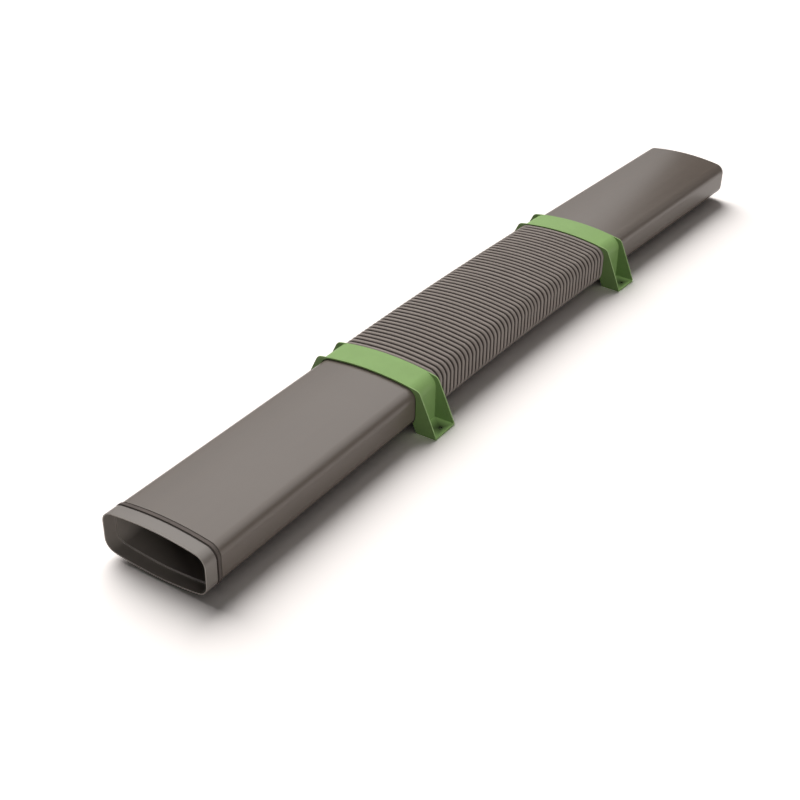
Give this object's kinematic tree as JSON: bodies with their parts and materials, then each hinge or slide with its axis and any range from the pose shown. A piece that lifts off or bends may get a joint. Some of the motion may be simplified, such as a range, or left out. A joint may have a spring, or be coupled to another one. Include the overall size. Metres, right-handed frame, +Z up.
{
  "type": "flat channel duct",
  "caption": "Flat crowned ventilation duct: rigid ends joined by a corrugated flexible length, with saddle brackets, a socket collar and a seal.",
  "frame": {"origin": "on the floor, below the middle of the whole part's box", "axes": "+X along the front duct from the socket collar towards the open rear end, +Y to the duct's left, +Z up from the floor that the bracket feet stand on"},
  "size_m": [2.0334, 0.3444, 0.1065],
  "materials": {
    "collar_plastic": "satin moulded, light grey",
    "seal_rubber": "dull black-brown rubber",
    "duct_plastic": "satin extruded, warm grey",
    "flexible_plastic": "satin corrugated, warm grey",
    "bracket_plastic": "satin moulded, green"
  },
  "bodies": {
    "root": {"socket_collar": "collar_plastic", "seal_ring": "seal_rubber", "front_duct": "duct_plastic", "flexible_duct": "flexible_plastic", "rear_duct": "duct_plastic", "front_bracket": "bracket_plastic", "rear_bracket": "bracket_plastic"}
  },
  "joints": []
}
